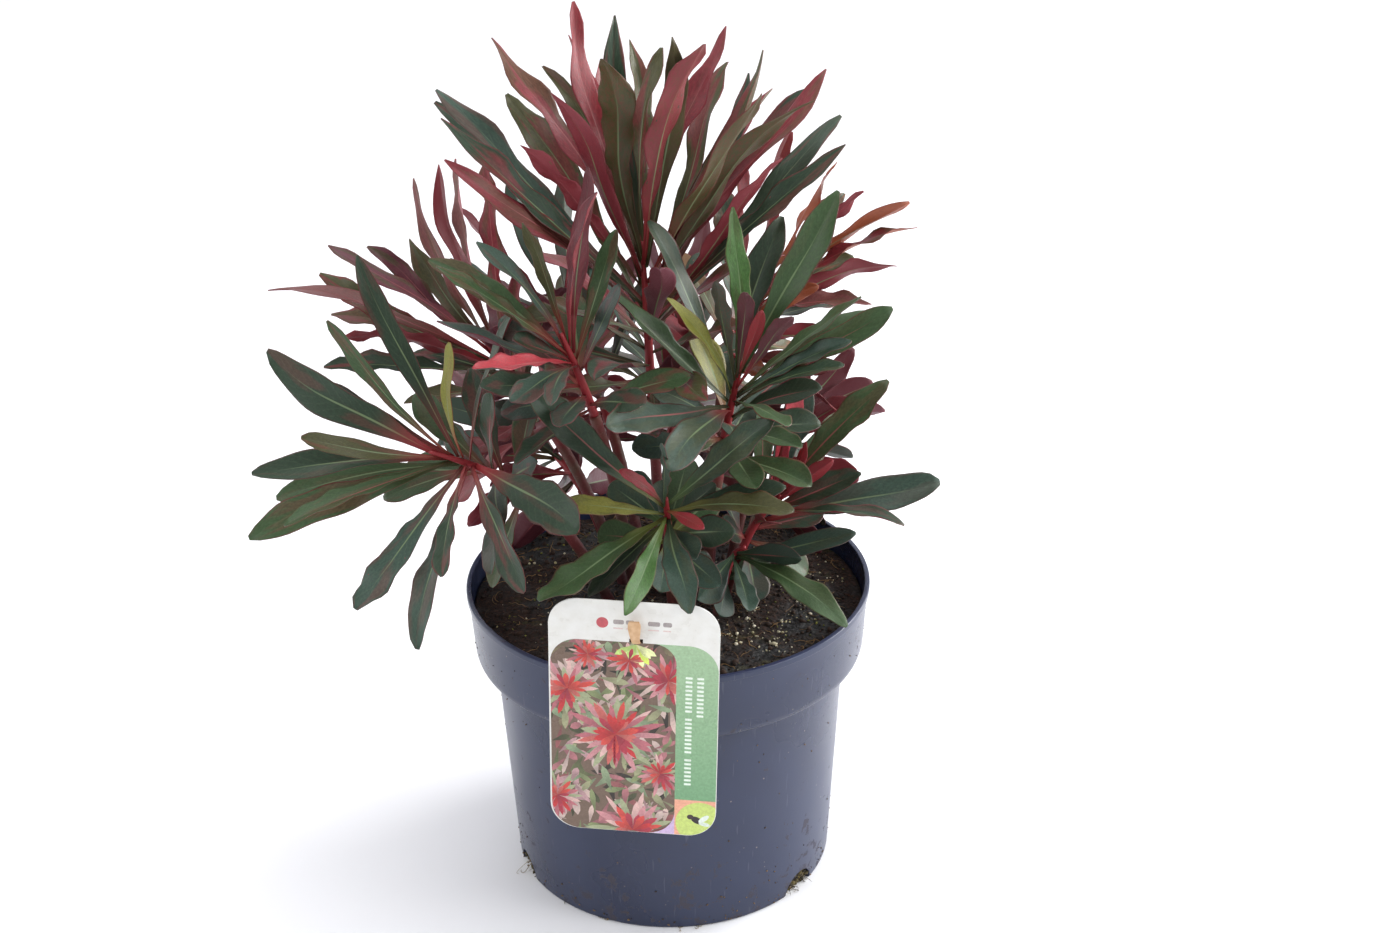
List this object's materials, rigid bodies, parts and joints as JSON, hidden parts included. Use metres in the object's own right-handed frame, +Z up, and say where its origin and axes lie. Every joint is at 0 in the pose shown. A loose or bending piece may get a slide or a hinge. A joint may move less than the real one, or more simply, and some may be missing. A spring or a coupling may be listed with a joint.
{
  "type": "potted euphorbia",
  "caption": "Bushy euphorbia with red-tinged spoon-shaped leaves on leafy shoots, in a round slate-blue nursery pot of soil with a picture label on a stake.",
  "frame": {"origin": "centre of the pot's underside, where it stands", "axes": "+Z up out of the pot; -Y towards the front, where the label is; +X to the right seen from the front"},
  "size_m": [0.3066, 0.2399, 0.4132],
  "materials": {
    "pot_plastic": "satin",
    "peat": "matte",
    "stem_bark": "satin",
    "leaf": "satin",
    "label_print": "gloss",
    "stake_plastic": "satin"
  },
  "bodies": {
    "root": {"pot": "pot_plastic", "soil": "peat", "label_card": "label_print", "label_stake": "stake_plastic", "stem_top": "stem_bark", "leafy_tip_top": "leaf", "stem_left_mid": "stem_bark", "leafy_tip_left_mid": "leaf", "stem_left_back": "stem_bark", "leafy_tip_left_back": "leaf", "stem_left_low": "stem_bark", "leafy_tip_left_low": "leaf", "stem_right": "stem_bark", "leafy_tip_right": "leaf", "stem_front": "stem_bark", "leafy_tip_front": "leaf", "stem_right_low": "stem_bark", "leafy_tip_right_low": "leaf", "stem_lowest": "stem_bark", "leafy_tip_lowest": "leaf", "stem_back_right": "stem_bark", "leafy_tip_back_right": "leaf", "stem_back_left": "stem_bark", "leafy_tip_back_left": "leaf", "stem_back": "stem_bark", "leafy_tip_back": "leaf", "stem_back_low_right": "stem_bark", "leafy_tip_back_low_right": "leaf", "stem_back_low_left": "stem_bark", "leafy_tip_back_low_left": "leaf"}
  },
  "joints": []
}
